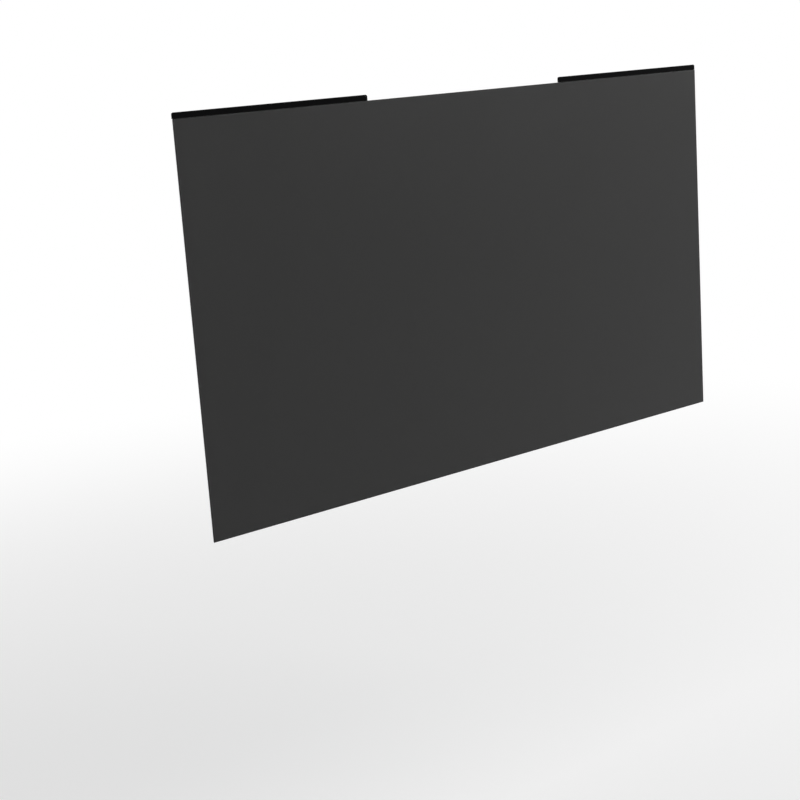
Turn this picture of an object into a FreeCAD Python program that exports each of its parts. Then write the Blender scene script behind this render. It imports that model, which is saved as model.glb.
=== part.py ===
import FreeCAD, Part
import Sketcher
import os

# A monitor privacy filter: one thin dark sheet that hangs in front of a screen.
# Two slim moulded strips carry it, one at each end of its top edge, and the space
# between them leaves a camera in the bezel uncovered. Each strip has a head that
# stands above the sheet, flush with its front, and a thin tongue that laps behind it.
# Tape bonds the tongue to the sheet, and a flexible magnet lies in a groove at the
# rear of the head, where it meets the bezel.
#
# X runs along the width, Y from the viewer to the screen, Z up.
# The origin is the centre of the whole filter's box.

# Driving dimensions, in millimetres
SIZES = {
    # the laminated sheet
    "sheet_width": 531.0,
    "sheet_height": 299.0,
    "sheet_thickness": 0.5,
    "sheet_corner": 0.5,
    # the strip's head, around its magnet
    "strip_length": 167.0,
    "front_wall": 0.6,
    "head_wall": 0.65,
    "end_wall": 3.0,
    "head_corner": 1.5,
    "edge_break": 0.3,
    # the tongue behind the sheet
    "tongue_height": 6.0,
    "tongue_thickness": 0.5,
    "tongue_inset": 1.2,
    "tongue_corner": 1.2,
    "seat_gap": 0.05,
    # the tape between the tongue and the sheet
    "tape_thickness": 0.15,
    "tape_margin": 0.5,
    # the magnet in the head's groove
    "magnet_height": 2.8,
    "magnet_thickness": 0.8,
    "groove_gap": 0.1,
}

# Sizes that follow from the driving ones
GROOVE_HEIGHT = "(dims.magnet_height + 2 * dims.groove_gap)"
GROOVE_LENGTH = "(dims.strip_length - 2 * dims.end_wall)"
MAGNET_LENGTH = f"({GROOVE_LENGTH} - 2 * dims.groove_gap)"
HEAD_RISE = f"({GROOVE_HEIGHT} + 2 * dims.head_wall)"
HEAD_DEPTH = "(dims.front_wall + dims.magnet_thickness)"
HEAD_MIDDLE = f"({HEAD_RISE} / 2)"
TONGUE_LENGTH = "(dims.strip_length - 2 * dims.tongue_inset)"
TONGUE_FRONT = "(dims.sheet_thickness + dims.tape_thickness)"
TONGUE_MIDDLE = "(-dims.tongue_height / 2)"
TAPE_LENGTH = f"({TONGUE_LENGTH} - 2 * dims.tape_margin)"
TAPE_TOP = "(-dims.seat_gap - dims.tape_margin)"
TAPE_BOTTOM = "(dims.tape_margin - dims.tongue_height)"
TAPE_HEIGHT = f"({TAPE_TOP} - {TAPE_BOTTOM})"
TAPE_MIDDLE = f"(({TAPE_TOP} + {TAPE_BOTTOM}) / 2)"

# Places of the sheet and the strips in the whole filter
STRIP_CENTRE = "((dims.sheet_width - dims.strip_length) / 2)"
FRONT = f"(-{HEAD_DEPTH} / 2)"
SHOULDER = f"((dims.sheet_height + dims.seat_gap - {HEAD_RISE}) / 2)"
SHEET_CENTRE = f"({SHOULDER} - dims.seat_gap - dims.sheet_height / 2)"

# Lengths under this count as nothing when an edge is looked for
TOUCH = 1e-4

doc = FreeCAD.newDocument("monitor_privacy_filter")
dims = doc.addObject("Spreadsheet::Sheet", "dims")
for row, (alias, value) in enumerate(SIZES.items(), start=1):
    dims.set(f"A{row}", alias)
    dims.set(f"B{row}", str(value))
    dims.setAlias(f"B{row}", alias)
doc.recompute()


def new_body(name, across, up):
    """A sub-part whose own front plane is the filter's front plane."""
    body = doc.addObject("PartDesign::Body", name)
    body.Label = name
    body.setExpression("Placement.Base.x", across)
    body.setExpression("Placement.Base.y", FRONT)
    body.setExpression("Placement.Base.z", up)
    return body


def rectangle(body, name, width, height, back, up):
    """A rectangle seen from the front, its centre moved back and up from the body's origin."""
    sketch = body.newObject("Sketcher::SketchObject", name)
    planes = body.Origin.OriginFeatures
    front_plane = next(plane for plane in planes if plane.Role == "XZ_Plane")
    sketch.AttachmentSupport = [(front_plane, "")]
    sketch.MapMode = "FlatFace"
    # the plane faces the viewer, so a distance back is negative on it
    sketch.setExpression("AttachmentOffset.Base.y", up)
    sketch.setExpression("AttachmentOffset.Base.z", f"-{back}")
    corners = [(-2, -1), (2, -1), (2, 1), (-2, 1)]
    points = [FreeCAD.Vector(x, y, 0) for x, y in corners]
    for side in range(4):
        sketch.addGeometry(Part.LineSegment(points[side], points[(side + 1) % 4]))
    for side in range(4):
        sketch.addConstraint(Sketcher.Constraint("Coincident", side, 2, (side + 1) % 4, 1))
    for side in (0, 2):
        sketch.addConstraint(Sketcher.Constraint("Horizontal", side))
        sketch.addConstraint(Sketcher.Constraint("Vertical", side + 1))
    sketch.addConstraint(Sketcher.Constraint("Symmetric", 0, 1, 2, 1, -1, 1))
    for label, kind, side, size in (
        ("width", "DistanceX", 0, width),
        ("height", "DistanceY", 1, height),
    ):
        index = sketch.addConstraint(Sketcher.Constraint(kind, side, 1, side, 2, 1.0))
        sketch.renameConstraint(index, label)
        sketch.setExpression(f"Constraints.{label}", size)
    return sketch


def plate(body, name, width, height, depth, back="0", up="0"):
    """A flat block, padded from its front face towards the screen."""
    pad = body.newObject("PartDesign::Pad", name)
    pad.Profile = rectangle(body, f"{name}_outline", width, height, back, up)
    pad.Reversed = True
    pad.setExpression("Length", depth)
    doc.recompute()
    return pad


def groove(body, name, width, height, depth, back, up):
    """A groove, cut from its floor towards the screen."""
    pocket = body.newObject("PartDesign::Pocket", name)
    pocket.Profile = rectangle(body, f"{name}_outline", width, height, back, up)
    pocket.setExpression("Length", depth)
    doc.recompute()
    return pocket


def rounded(body, name, base, radius, chosen):
    """Rounds those edges of the base that the given test chooses."""
    edges = enumerate(base.Shape.Edges, start=1)
    names = [f"Edge{number}" for number, edge in edges if chosen(edge.BoundBox)]
    fillet = body.newObject("PartDesign::Fillet", name)
    fillet.Base = (base, names)
    fillet.setExpression("Radius", radius)
    doc.recompute()
    return fillet


def runs_back(box):
    """True for the box of an edge that runs straight from the front to the rear."""
    return box.YLength > TOUCH and box.XLength < TOUCH and box.ZLength < TOUCH


def make_sheet():
    """The sheet: films laminated into one thin plate, with its corners eased."""
    body = new_body("filter_sheet", "0", SHEET_CENTRE)
    film = plate(body, "film", "dims.sheet_width", "dims.sheet_height", "dims.sheet_thickness")
    rounded(body, "film_corners", film, "dims.sheet_corner", runs_back)
    return body


def make_strip(side, across):
    """A moulded strip: the head, the tongue below it and the groove for the magnet."""
    body = new_body(f"{side}_strip", across, SHOULDER)

    # the head, with its upper corners rounded and its front and rear edges eased,
    # apart from the lower ones, which meet the sheet and the tongue
    head = plate(body, f"{side}_head", "dims.strip_length", HEAD_RISE, HEAD_DEPTH, up=HEAD_MIDDLE)
    extent = head.Shape.BoundBox
    head_corners = rounded(
        body,
        f"{side}_head_corners",
        head,
        f"min(dims.head_corner; {HEAD_RISE} / 2)",
        lambda box: runs_back(box) and box.ZMin > extent.ZMax - TOUCH,
    )
    rounded(
        body,
        f"{side}_head_edges",
        head_corners,
        "min(dims.edge_break; dims.front_wall / 2)",
        lambda box: box.YLength < TOUCH and box.ZMax > extent.ZMin + TOUCH,
    )

    # the tongue, with its lower corners rounded
    tongue = plate(
        body,
        f"{side}_tongue",
        TONGUE_LENGTH,
        "dims.tongue_height",
        "dims.tongue_thickness",
        back=TONGUE_FRONT,
        up=TONGUE_MIDDLE,
    )
    lowest = tongue.Shape.BoundBox.ZMin
    rounded(
        body,
        f"{side}_tongue_corners",
        tongue,
        "min(dims.tongue_corner; dims.tongue_height / 2)",
        lambda box: runs_back(box) and box.ZMax < lowest + TOUCH,
    )

    # the groove in the head's rear
    groove(
        body,
        f"{side}_groove",
        GROOVE_LENGTH,
        GROOVE_HEIGHT,
        "dims.magnet_thickness",
        back="dims.front_wall",
        up=HEAD_MIDDLE,
    )
    return body


def make_tape(side, across):
    """Double-sided tape between the sheet's rear and the tongue's front."""
    body = new_body(f"{side}_tape", across, SHOULDER)
    plate(
        body,
        f"{side}_tape_layer",
        TAPE_LENGTH,
        TAPE_HEIGHT,
        "dims.tape_thickness",
        back="dims.sheet_thickness",
        up=TAPE_MIDDLE,
    )
    return body


def make_magnet(side, across):
    """A flexible magnet that fills the groove, level with the head's rear."""
    body = new_body(f"{side}_magnet", across, SHOULDER)
    plate(
        body,
        f"{side}_magnet_bar",
        MAGNET_LENGTH,
        "dims.magnet_height",
        "dims.magnet_thickness",
        back="dims.front_wall",
        up=HEAD_MIDDLE,
    )
    return body


sub_parts = [make_sheet()]
for side, across in (("left", f"-{STRIP_CENTRE}"), ("right", STRIP_CENTRE)):
    sub_parts.append(make_strip(side, across))
    sub_parts.append(make_tape(side, across))
    sub_parts.append(make_magnet(side, across))
doc.recompute()

# Every object has to be sound before a file is written
for thing in doc.Objects:
    if "Invalid" in thing.State or "Error" in thing.State:
        raise RuntimeError(f"{thing.Name} failed: {thing.State}")
for body in sub_parts:
    if body.Shape.isNull() or not body.Shape.isValid():
        raise RuntimeError(f"{body.Label} has no sound shape")
    if len(body.Shape.Solids) != 1:
        raise RuntimeError(f"{body.Label} is not one solid")

os.makedirs("parts", exist_ok=True)
for body in sub_parts:
    body.Shape.exportStep(f"parts/{body.Label}.step")
    box = body.Shape.BoundBox
    print(f"{body.Label}: {box.XLength:.2f} x {box.YLength:.2f} x {box.ZLength:.2f} mm")
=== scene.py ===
# %% [markdown]
# # A monitor privacy filter
#
# The filter is a sheet half a millimetre thick. From straight ahead it is clear, and from the side
# it is dark, so what lies behind it can be read from the front alone. Two slim black strips with
# magnets in them carry it by its top edge.
#
# The solids come ready made and in place, so this lesson is about how they look: what makes the
# sheet dark from the side, and how its plastics, rubber and tape take the light. Blender counts
# lengths in metres, and MM turns millimetres into them.

# %% Load the solids
import math

import bpy
from mathutils import Matrix, Vector


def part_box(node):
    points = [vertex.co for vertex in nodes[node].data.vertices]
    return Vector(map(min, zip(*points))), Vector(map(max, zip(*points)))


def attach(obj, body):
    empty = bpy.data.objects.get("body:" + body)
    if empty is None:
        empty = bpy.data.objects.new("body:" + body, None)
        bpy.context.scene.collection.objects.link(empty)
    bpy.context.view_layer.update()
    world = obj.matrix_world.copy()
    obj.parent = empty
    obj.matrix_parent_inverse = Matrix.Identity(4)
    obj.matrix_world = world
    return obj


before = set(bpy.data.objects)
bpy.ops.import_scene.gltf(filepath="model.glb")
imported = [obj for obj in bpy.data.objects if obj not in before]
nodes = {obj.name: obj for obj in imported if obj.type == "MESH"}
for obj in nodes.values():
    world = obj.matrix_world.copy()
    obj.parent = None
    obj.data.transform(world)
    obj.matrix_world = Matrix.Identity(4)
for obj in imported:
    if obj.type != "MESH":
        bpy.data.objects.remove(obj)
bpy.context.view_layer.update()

MM = 0.001

print("solids:", ", ".join(sorted(nodes)))

# %% [markdown]
# ## Measure the sheet
#
# X runs along the width, Y from the front to the rear, and Z up. What goes inside the sheet or
# on its rim takes its place from the sheet's own box, so a sheet of another size needs no change
# here.

# %% Sheet size
sheet_low, sheet_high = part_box("filter_sheet")
sheet_size = sheet_high - sheet_low
sheet_centre = (sheet_low + sheet_high) / 2
print("sheet in mm:", [round(side / MM, 2) for side in sheet_size])

# %% [markdown]
# ## Helpers for node trees
#
# A finish is a tree of nodes, and so is the rule that makes the louvres. In the node editor you
# would add a node, type in its values and draw its links. Here one helper does all three: each
# input gets a plain value or the output of an earlier node. A second helper does sums with it.

# %% Node helpers
def add_node(tree, kind, inputs=None, **settings):
    """A new node. Each input, by name or number, gets a plain value or another node's output."""
    node = tree.nodes.new(kind)
    for setting, value in settings.items():
        setattr(node, setting, value)
    for key, value in (inputs or {}).items():
        if isinstance(value, bpy.types.NodeSocket):
            tree.links.new(value, node.inputs[key])
        else:
            node.inputs[key].default_value = value
    return node


def work_out(tree, operation, *terms):
    """The result of a sum on plain numbers or the outputs of other nodes."""
    node = add_node(tree, "ShaderNodeMath", dict(enumerate(terms)), operation=operation)
    return node.outputs["Value"]


print("helpers:", add_node.__name__, "and", work_out.__name__)

# %% [markdown]
# ## Grain that the finishes share
#
# No moulded or coated plastic is perfectly even. Seen close, it has a fine grain from its mould or
# its coating. Over a hand's breadth its gloss drifts a little, and what comes off a roll also has
# long streaks along it. Images could hold all that, but noise in Object coordinates needs no
# unwrapping and stays sharp at any distance. The group gives three numbers between 0 and 1, and
# each material decides what they do.

# %% Grain group
STREAK_STRETCH = 60
NOISE_DETAIL = 2.0


def rate_name(pattern):
    """The group's input for how many of a pattern's waves fit into a metre."""
    return f"{pattern}s per metre"


def make_grain_group():
    """Fine grain, slow drift and long streaks along X, from noise in Object coordinates."""
    group = bpy.data.node_groups.new("surface_grain", "ShaderNodeTree")
    for pattern in ("Grain", "Drift", "Streak"):
        rate = rate_name(pattern)
        group.interface.new_socket(rate, in_out="INPUT", socket_type="NodeSocketFloat")
        group.interface.new_socket(pattern, in_out="OUTPUT", socket_type="NodeSocketFloat")
    given = add_node(group, "NodeGroupInput").outputs
    result = add_node(group, "NodeGroupOutput").inputs
    place = add_node(group, "ShaderNodeTexCoord").outputs["Object"]
    shrink = {"Vector": place, "Scale": (1 / STREAK_STRETCH, 1.0, 1.0)}
    stretched = add_node(group, "ShaderNodeMapping", shrink).outputs["Vector"]
    for pattern, vector in (("Grain", place), ("Drift", place), ("Streak", stretched)):
        waves = {"Vector": vector, "Scale": given[rate_name(pattern)], "Detail": NOISE_DETAIL}
        noise = add_node(group, "ShaderNodeTexNoise", waves)
        group.links.new(noise.outputs["Fac"], result[pattern])
    return group


grain_group = make_grain_group()
print("shared group:", grain_group.name, [item.name for item in grain_group.interface.items_tree])

# %% [markdown]
# ## Helpers for finishes
#
# Each finish starts from the same Principled shader and differs in what feeds it. So one helper
# makes a material with that shader, and another tells which of its inputs are fed by nodes.

# %% Finish helpers
def new_finish(name):
    """A material with a Principled shader: the material, its node tree and the shader's inputs."""
    material = bpy.data.materials.new(name)
    material.use_nodes = True
    tree = material.node_tree
    return material, tree, tree.nodes["Principled BSDF"].inputs


def describe(material):
    """Prints what the nodes of a finish drive."""
    shader = material.node_tree.nodes["Principled BSDF"]
    driven = [socket.name for socket in shader.inputs if socket.is_linked]
    print("finish:", material.name, "with nodes for", ", ".join(driven))


print("helpers:", new_finish.__name__, "and", describe.__name__)

# %% [markdown]
# The noise seldom leaves the span from 0.3 to 0.7, so the next helpers stretch that span over the
# wanted numbers or colours. A bump turns the noise into a height of a real depth, so the grain
# takes the light as a surface does.

# %% Grain helpers
NOISE_LOW = 0.3
NOISE_HIGH = 0.7


def add_grain(tree, **sizes):
    """The outputs of the grain group, with the size of one grain, drift or streak in metres."""
    rates = {rate_name(pattern): 1 / size for pattern, size in sizes.items()}
    return add_node(tree, "ShaderNodeGroup", node_tree=grain_group, inputs=rates).outputs


def drive_number(tree, source, numbers, target):
    """Feeds a target with a number between the two given ones."""
    low, high = numbers
    noise_span = {"From Min": NOISE_LOW, "From Max": NOISE_HIGH}
    number_span = {"To Min": low, "To Max": high}
    spread = add_node(tree, "ShaderNodeMapRange", {"Value": source, **noise_span, **number_span})
    tree.links.new(spread.outputs["Result"], target)


def drive_colour(tree, source, colours, target):
    """Feeds a target with a colour between the two given ones."""
    ramp = add_node(tree, "ShaderNodeValToRGB", {"Fac": source})
    for stop, place, colour in zip(ramp.color_ramp.elements, (NOISE_LOW, NOISE_HIGH), colours):
        stop.position = place
        stop.color = (*colour, 1.0)
    tree.links.new(ramp.outputs["Color"], target)


def drive_bump(tree, source, depth, target):
    """Feeds a normal with bumps whose height goes from 0 to the given depth."""
    bump = add_node(tree, "ShaderNodeBump", {"Height": source, "Distance": depth})
    tree.links.new(bump.outputs["Normal"], target)


print("noise from", NOISE_LOW, "to", NOISE_HIGH, "is stretched over each finish's own range")

# %% [markdown]
# ## The sheet's cut rim
#
# Where the sheet was cut to size, its dark inner layer comes to the edge, so the rim looks black. A
# frame of its own would be a piece that the real sheet hasn't got. A mask does it instead: from
# Object coordinates it finds the points close to the sheet's outline, and the film's finish then
# turns its tint to near black there.

# %% Rim mask
RIM_WIDTH = 0.35 * MM


def inside_rim(tree):
    """0 on the rim and 1 inside it, by how far a point is from the outline along X or Z."""
    place = add_node(tree, "ShaderNodeTexCoord").outputs["Object"]
    point = add_node(tree, "ShaderNodeSeparateXYZ", {"Vector": place}).outputs
    depths = []
    for axis, middle, side in zip("XZ", sheet_centre.xz, sheet_size.xz):
        away = work_out(tree, "ABSOLUTE", work_out(tree, "SUBTRACT", point[axis], middle))
        depths.append(work_out(tree, "SUBTRACT", side / 2, away))
    return work_out(tree, "GREATER_THAN", work_out(tree, "MINIMUM", *depths), RIM_WIDTH)


print("rim in mm:", round(RIM_WIDTH / MM, 2))

# %% [markdown]
# ## The sheet's clear films
#
# The outside of the sheet is clear plastic with a fine matt coat against glare. A dark paint would
# look right from the side only, because from straight ahead the real sheet is clear. Clear plastic
# is not a colour: it mirrors a few hundredths of the light at its face and lets the rest through.
# So the shader is glass that bends light as the coat does, with a smoky tint and a roughness that
# drifts a little. The coat's grain is a bump of a few thousandths of a millimetre.

# %% Film finish
FILM_IOR = 1.45
RIM_AND_FILM_TINTS = ((0.004, 0.004, 0.004), (0.46, 0.465, 0.475))
COAT_ROUGHNESS = (0.3, 0.36)
COAT_DRIFT = 90 * MM
COAT_GRAIN = 0.14 * MM
COAT_DEPTH = 0.003 * MM


def make_film():
    """Smoky clear film with a matt coat and a dark cut rim."""
    material, tree, shader = new_finish("filter_film_clear")
    shader["Transmission Weight"].default_value = 1.0
    shader["IOR"].default_value = FILM_IOR
    drive_colour(tree, inside_rim(tree), RIM_AND_FILM_TINTS, shader["Base Color"])
    coat = add_grain(tree, Grain=COAT_GRAIN, Drift=COAT_DRIFT)
    drive_number(tree, coat["Drift"], COAT_ROUGHNESS, shader["Roughness"])
    drive_bump(tree, coat["Grain"], COAT_DEPTH, shader["Normal"])
    return material


film = make_film()
describe(film)

# %% [markdown]
# ## The louvres inside the sheet
#
# Between the clear films stands a row of thousands of upright black slats, like a blind that is
# finer than a hair. Looking straight ahead, the eye goes between them. Looking from the side, each
# gap is closed by the next slat, so the sheet turns dark. A shader could fake that by the viewing
# angle, but then it would not hold for light, shadow or another renderer. Real slats do it by
# themselves.
#
# The gap between slats over their depth sets where the sheet goes dark. Light bends towards
# straight ahead as it enters the film, so the cut-off outside is wider than the one inside.

# %% Louvre sizes
SLAT_PITCH = 0.12 * MM
SLAT_THICKNESS = 0.03 * MM
CLEAR_SKIN = 0.07 * MM
RIM_MARGIN = 0.16 * MM

core_width = sheet_size.x - 2 * RIM_MARGIN
core_height = sheet_size.z - 2 * RIM_MARGIN
core_depth = sheet_size.y - 2 * CLEAR_SKIN
inside_angle = math.atan2(SLAT_PITCH - SLAT_THICKNESS, core_depth)
outside_angle = math.asin(FILM_IOR * math.sin(inside_angle))
print("the sheet goes dark at", round(math.degrees(outside_angle), 1), "degrees off straight ahead")

# %% [markdown]
# The slats are resin full of carbon black, which takes in nearly all the light and mirrors none.
# So the base is close to black with the mirror part switched off, and only a trace of drift is
# left in it.

# %% Louvre finish
SLAT_COLOURS = ((0.001, 0.001, 0.001), (0.003, 0.003, 0.003))
SLAT_ROUGHNESS = (0.9, 1.0)
RESIN_DRIFT = 60 * MM
RESIN_GRAIN = 0.4 * MM


def make_louvre_black():
    """Carbon black in resin."""
    material, tree, shader = new_finish("louvre_black")
    shader["Specular IOR Level"].default_value = 0.0
    resin = add_grain(tree, Grain=RESIN_GRAIN, Drift=RESIN_DRIFT)
    drive_colour(tree, resin["Drift"], SLAT_COLOURS, shader["Base Color"])
    drive_number(tree, resin["Grain"], SLAT_ROUGHNESS, shader["Roughness"])
    return material


louvre_black = make_louvre_black()
describe(louvre_black)

# %% [markdown]
# Thousands of slats could come from an Array modifier or a loop. Geometry Nodes hold the rule in
# one place, with named sizes: a row of points, one slat on each. The tree ends by making the
# copies real and giving them their finish, so that the row can leave Blender as a plain mesh.

# %% Louvre tree
def make_louvre_tree():
    """A row of upright slats along X, about the given centre."""
    tree = bpy.data.node_groups.new("louvre_row", "GeometryNodeTree")
    for name in ("Width", "Height", "Depth", "Pitch", "Slat"):
        tree.interface.new_socket(name, in_out="INPUT", socket_type="NodeSocketFloat")
    tree.interface.new_socket("Centre", in_out="INPUT", socket_type="NodeSocketVector")
    tree.interface.new_socket("Finish", in_out="INPUT", socket_type="NodeSocketMaterial")
    tree.interface.new_socket("Slats", in_out="OUTPUT", socket_type="NodeSocketGeometry")
    given = add_node(tree, "NodeGroupInput").outputs

    # as many points as the width holds, from half the row's length to the left of the centre
    count = work_out(tree, "FLOOR", work_out(tree, "DIVIDE", given["Width"], given["Pitch"]))
    length = work_out(tree, "MULTIPLY", work_out(tree, "SUBTRACT", count, 1.0), given["Pitch"])
    left = add_node(tree, "ShaderNodeCombineXYZ", {"X": work_out(tree, "MULTIPLY", length, -0.5)})
    terms = {0: given["Centre"], 1: left.outputs["Vector"]}
    start = add_node(tree, "ShaderNodeVectorMath", terms, operation="ADD").outputs["Vector"]
    step = add_node(tree, "ShaderNodeCombineXYZ", {"X": given["Pitch"]}).outputs["Vector"]
    line = {"Count": count, "Start Location": start, "Offset": step}
    row = add_node(tree, "GeometryNodeMeshLine", line).outputs["Mesh"]

    # one slat stands on each point
    sides = {"X": given["Slat"], "Y": given["Depth"], "Z": given["Height"]}
    size = add_node(tree, "ShaderNodeCombineXYZ", sides).outputs["Vector"]
    slat = add_node(tree, "GeometryNodeMeshCube", {"Size": size}).outputs["Mesh"]
    placed = add_node(tree, "GeometryNodeInstanceOnPoints", {"Points": row, "Instance": slat})
    real = add_node(tree, "GeometryNodeRealizeInstances", {"Geometry": placed.outputs["Instances"]})
    dressed = {"Geometry": real.outputs["Geometry"], "Material": given["Finish"]}
    finished = add_node(tree, "GeometryNodeSetMaterial", dressed)
    add_node(tree, "NodeGroupOutput", {"Slats": finished.outputs["Geometry"]})
    return tree


louvre_tree = make_louvre_tree()
print("louvre tree:", len(louvre_tree.nodes), "nodes")

# %% [markdown]
# The tree's sizes are set on a modifier, by each input's identifier, and the result is read back
# as a plain mesh. It then rides on the same body as the sheet.

# %% Louvre core
FACES_PER_SLAT = 6


def grow(name, tree, values):
    """A plain mesh object made by a geometry tree with the given inputs."""
    piece = bpy.data.objects.new(name, bpy.data.meshes.new(name))
    bpy.context.scene.collection.objects.link(piece)
    modifier = piece.modifiers.new(name, "NODES")
    modifier.node_group = tree
    for item in tree.interface.items_tree:
        if item.name in values:
            modifier[item.identifier] = values[item.name]
    depsgraph = bpy.context.evaluated_depsgraph_get()
    mesh = bpy.data.meshes.new_from_object(piece.evaluated_get(depsgraph), depsgraph=depsgraph)
    piece.modifiers.remove(modifier)
    piece.data = mesh
    return piece


louvre_values = {
    "Width": core_width,
    "Height": core_height,
    "Depth": core_depth,
    "Pitch": SLAT_PITCH,
    "Slat": SLAT_THICKNESS,
    "Centre": sheet_centre,
    "Finish": louvre_black,
}
louvre_core = grow("louvre_core", louvre_tree, louvre_values)
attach(louvre_core, "root")
print("slats:", len(louvre_core.data.polygons) // FACES_PER_SLAT)

# %% [markdown]
# ## The strips' black plastic
#
# The strips are moulded in black plastic. Their mould has a fine spark-eroded texture, which breaks
# up the light and makes them look blacker than the sheet. So the base is nearly black, the mirror
# part is turned well down, and the texture is a bump. In even white light a bump alone would hardly
# show, so its hollows also get painted shade: the colour is a little darker where the bump is low.

# %% Strip finish
STRIP_BLACK_AND_PAINTED_HOLLOW_SHADE = ((0.0002, 0.0002, 0.0003), (0.0048, 0.0048, 0.005))
STRIP_ROUGHNESS = (0.38, 0.5)
STRIP_SHINE = 0.02
MOULD_DRIFT = 25 * MM
MOULD_GRAIN = 0.3 * MM
MOULD_DEPTH = 0.03 * MM


def make_strip_plastic():
    """Matt black moulded plastic with a fine texture, and painted shade in the texture's hollows.
    """
    material, tree, shader = new_finish("strip_plastic_black")
    shader["Specular IOR Level"].default_value = STRIP_SHINE
    mould = add_grain(tree, Grain=MOULD_GRAIN, Drift=MOULD_DRIFT)
    # painted shade: the grain that lowers the bump also darkens the colour in its hollows
    drive_colour(tree, mould["Grain"], STRIP_BLACK_AND_PAINTED_HOLLOW_SHADE, shader["Base Color"])
    drive_number(tree, mould["Drift"], STRIP_ROUGHNESS, shader["Roughness"])
    drive_bump(tree, mould["Grain"], MOULD_DEPTH, shader["Normal"])
    return material


strip_plastic = make_strip_plastic()
describe(strip_plastic)

# %% [markdown]
# ## The magnets' rubber
#
# A flexible magnet is ferrite powder in rubber, rolled into a strip. It is dull and brown-grey,
# with a faint speckle of powder and fine lines along the way it was rolled. The speckle goes into
# the colour, and the rolled lines into the roughness and the bump, where they catch the light.

# %% Magnet finish
MAGNET_COLOURS = ((0.022, 0.02, 0.019), (0.045, 0.041, 0.038))
MAGNET_ROUGHNESS = (0.55, 0.8)
RUBBER_SHINE = 0.3
POWDER_GRAIN = 0.3 * MM
ROLLED_LINE = 0.25 * MM
ROLLED_DEPTH = 0.02 * MM


def make_magnet_rubber():
    """Dull brown-grey ferrite rubber with rolled lines and a speckle."""
    material, tree, shader = new_finish("magnet_ferrite_rubber")
    shader["Specular IOR Level"].default_value = RUBBER_SHINE
    rolled = add_grain(tree, Grain=POWDER_GRAIN, Streak=ROLLED_LINE)
    drive_colour(tree, rolled["Grain"], MAGNET_COLOURS, shader["Base Color"])
    drive_number(tree, rolled["Streak"], MAGNET_ROUGHNESS, shader["Roughness"])
    drive_bump(tree, rolled["Streak"], ROLLED_DEPTH, shader["Normal"])
    return material


magnet_rubber = make_magnet_rubber()
describe(magnet_rubber)

# %% [markdown]
# ## The bonding tape
#
# The tape that bonds the tongues to the sheet is a dark acrylic, and shows only at its edges and
# through the sheet. A slow drift of its colour and a fine grain in its gloss are all that can be
# seen of it.

# %% Tape finish
TAPE_COLOURS = ((0.012, 0.012, 0.012), (0.02, 0.02, 0.021))
TAPE_ROUGHNESS = (0.5, 0.65)
TAPE_SHINE = 0.3
TAPE_DRIFT = 10 * MM
TAPE_GRAIN = 0.12 * MM


def make_bonding_tape():
    """Dark grey acrylic tape."""
    material, tree, shader = new_finish("bonding_tape_dark")
    shader["Specular IOR Level"].default_value = TAPE_SHINE
    acrylic = add_grain(tree, Grain=TAPE_GRAIN, Drift=TAPE_DRIFT)
    drive_colour(tree, acrylic["Drift"], TAPE_COLOURS, shader["Base Color"])
    drive_number(tree, acrylic["Grain"], TAPE_ROUGHNESS, shader["Roughness"])
    return material


bonding_tape = make_bonding_tape()
describe(bonding_tape)

# %% [markdown]
# ## Dress the solids
#
# The solids are exact already, so each keeps its shape and only gets a finish in its material
# slot. Left and right are alike, so a loop dresses both.

# %% Finishes on the solids
def dress(node, material):
    """Gives a solid its finish."""
    slots = nodes[node].data.materials
    slots.clear()
    slots.append(material)


dress("filter_sheet", film)
for side in ("left", "right"):
    dress(f"{side}_strip", strip_plastic)
    dress(f"{side}_magnet", magnet_rubber)
    dress(f"{side}_tape", bonding_tape)
print("dressed:", {name: piece.data.materials[0].name for name, piece in nodes.items()})

# %% [markdown]
# ## The room
#
# A white studio gives most of the light by itself. To the camera, in reflections and through the
# film, the room is plain white. For the light that it casts it is dimmer, so that the room and the
# lamp together light a white surface to just under white. The Light Path node tells the two apart.

# %% Room
ROOM_LIGHT = 0.75
WHITE = (1.0, 1.0, 1.0, 1.0)


def room_level(tree):
    """The room's strength: 1 where it is seen, and less where it lights something."""
    ray = add_node(tree, "ShaderNodeLightPath").outputs
    mirrored = work_out(tree, "MAXIMUM", ray["Is Camera Ray"], ray["Is Glossy Ray"])
    seen = work_out(tree, "MAXIMUM", mirrored, ray["Is Transmission Ray"])
    levels = {"Value": seen, "To Min": ROOM_LIGHT, "To Max": 1.0}
    return add_node(tree, "ShaderNodeMapRange", levels).outputs["Result"]


def make_room():
    """A white room that looks brighter than the light it casts."""
    room = bpy.data.worlds.new("white_room")
    room.use_nodes = True
    tree = room.node_tree
    glow = tree.nodes["Background"]
    glow.inputs["Color"].default_value = WHITE
    tree.links.new(room_level(tree), glow.inputs["Strength"])
    return room


bpy.context.scene.world = make_room()
print("room:", bpy.context.scene.world.name, "lights at", ROOM_LIGHT)

# %% [markdown]
# ## The floor
#
# The filter hangs well clear of a pale floor, which is plain and matt, so that it takes the
# filter's soft shadow. Closer to the floor, a thin sheet would also draw a bright line right below
# its edge, where it hides none of the room from the floor. The height blurs that.
#
# A floor of one paint would end in a horizon. So its finish mixes two shaders: matt paint close by,
# and with distance a glow as white as the room. How far a point is from the filter's middle, where
# the floor has its origin, sets the mix.

# %% Floor finish
FLOOR_TONE = (0.94, 0.94, 0.94, 1.0)
FADE_FROM = 0.65
FADE_TO = 1.8


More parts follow.
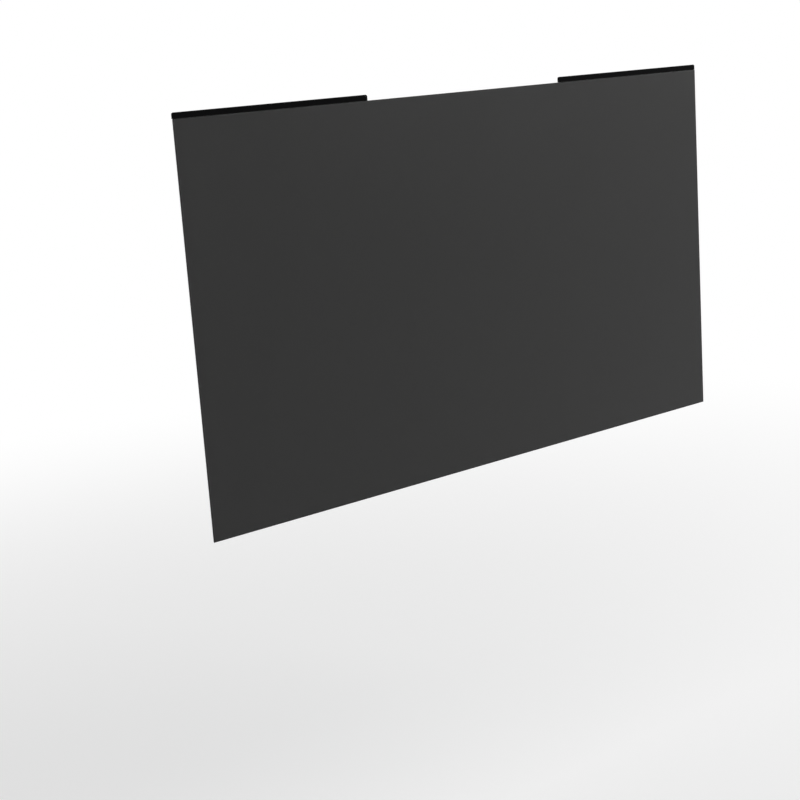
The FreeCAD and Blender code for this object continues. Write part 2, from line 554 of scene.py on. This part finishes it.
def make_floor_finish():
    """Pale and matt close by, and as white as the room further off."""
    material = bpy.data.materials.new("floor_pale")
    material.use_nodes = True
    tree = material.node_tree
    tree.nodes.clear()
    matt = add_node(tree, "ShaderNodeBsdfDiffuse", {"Color": FLOOR_TONE}).outputs["BSDF"]
    white = add_node(tree, "ShaderNodeEmission", {"Color": WHITE, "Strength": room_level(tree)})
    place = add_node(tree, "ShaderNodeTexCoord").outputs["Object"]
    reach = add_node(tree, "ShaderNodeVectorMath", {0: place}, operation="LENGTH").outputs["Value"]
    span = {"Value": reach, "From Min": FADE_FROM, "From Max": FADE_TO}
    fade = add_node(tree, "ShaderNodeMapRange", span, interpolation_type="SMOOTHSTEP")
    parts = {0: fade.outputs["Result"], 1: matt, 2: white.outputs["Emission"]}
    mix = add_node(tree, "ShaderNodeMixShader", parts)
    add_node(tree, "ShaderNodeOutputMaterial", {"Surface": mix.outputs["Shader"]})
    return material


floor_finish = make_floor_finish()
print("floor finish:", floor_finish.name, "fades from", FADE_FROM, "to", FADE_TO, "metres")

# %% [markdown]
# The floor is one square face, so large that its end lies well past the fade. It belongs to the
# stage and not to the filter, so it rides on no body.

# %% Floor
FLOOR_DROP = 300 * MM
FLOOR_SIDE = 12.0


def make_floor():
    """A square floor below the sheet."""
    half = FLOOR_SIDE / 2
    level = sheet_low.z - FLOOR_DROP
    corners = [(x * half, y * half, level) for x, y in ((-1, -1), (1, -1), (1, 1), (-1, 1))]
    mesh = bpy.data.meshes.new("floor")
    mesh.from_pydata(corners, [], [(0, 1, 2, 3)])
    mesh.materials.append(floor_finish)
    floor = bpy.data.objects.new("floor", mesh)
    bpy.context.scene.collection.objects.link(floor)
    return floor


floor = make_floor()
print("floor at z =", round(floor.data.vertices[0].co.z, 3))

# %% [markdown]
# ## The lamp
#
# One large soft lamp stands to the front right of the sheet and above it. The shadow falls to the
# left and rear. From where the camera stands, the sheet mirrors a little of the lamp, and so grows
# lighter towards its upper right corner. A small lamp would draw a hard edge, and two lamps would
# draw two shadows. The lamp's power, in watts, is low, because the room already gives most of the
# light.

# %% Lamp
LAMP_PLACE = (1.8, -1.3, 1.3)
LAMP_TARGET = (0.0, 0.0, -0.2)
LAMP_SIDE = 2.0
LAMP_POWER = 24.0


def add_lamp(name):
    """A square soft lamp that faces its target."""
    data = bpy.data.lights.new(name, "AREA")
    data.size = LAMP_SIDE
    data.energy = LAMP_POWER
    lamp = bpy.data.objects.new(name, data)
    lamp.location = LAMP_PLACE
    lamp.rotation_euler = (Vector(LAMP_TARGET) - lamp.location).to_track_quat("-Z", "Y").to_euler()
    bpy.context.scene.collection.objects.link(lamp)
    return lamp


lamp = add_lamp("studio_lamp")
print("lamp:", lamp.name, "at", [round(side, 2) for side in lamp.location])

# %% [markdown]
# ## The camera
#
# The camera stands to the left of the sheet, a little above its top edge, and looks down across
# it. It aims at a point left of the middle and below it, from a distance of a bit over a metre,
# through a long lens, and is turned slightly about its own line of sight. These numbers were worked
# out from the sheet's four corners in the photograph. Angles are in degrees, and the lens and its
# sensor in millimetres.

# %% Camera
VIEW_AZIMUTH = -38.19
VIEW_ELEVATION = 12.62
VIEW_ROLL = -4.0
VIEW_DISTANCE = 1.2156
AIM_LEFT = 87.9 * MM
AIM_BELOW_TOP = 228.7 * MM
LENS_LENGTH = 70.8
SENSOR_WIDTH = 36.0
NEAREST_SEEN = 0.05


def make_camera():
    """A camera turned round the aim point, out along its line of sight."""
    data = bpy.data.cameras.new("camera")
    data.lens = LENS_LENGTH
    data.sensor_width = SENSOR_WIDTH
    data.clip_start = NEAREST_SEEN
    azimuth = math.radians(VIEW_AZIMUTH)
    elevation = math.radians(VIEW_ELEVATION)
    out = Vector((math.sin(azimuth), -math.cos(azimuth), math.tan(elevation))).normalized()
    aim = Vector((-AIM_LEFT, sheet_low.y, sheet_high.z - AIM_BELOW_TOP))
    facing = (-out).to_track_quat("-Z", "Y").to_matrix().to_4x4()
    roll = Matrix.Rotation(math.radians(VIEW_ROLL), 4, "Z")
    camera = bpy.data.objects.new("camera", data)
    camera.matrix_world = Matrix.Translation(aim + VIEW_DISTANCE * out) @ facing @ roll
    bpy.context.scene.collection.objects.link(camera)
    return camera


camera = make_camera()
bpy.context.scene.camera = camera
print("camera at", [round(side, 4) for side in camera.matrix_world.translation])

# %% [markdown]
# ## Finish
#
# Colours are shown as they are written, so the view transform is the standard one.

# %% Colour
bpy.context.scene.view_settings.view_transform = "Standard"
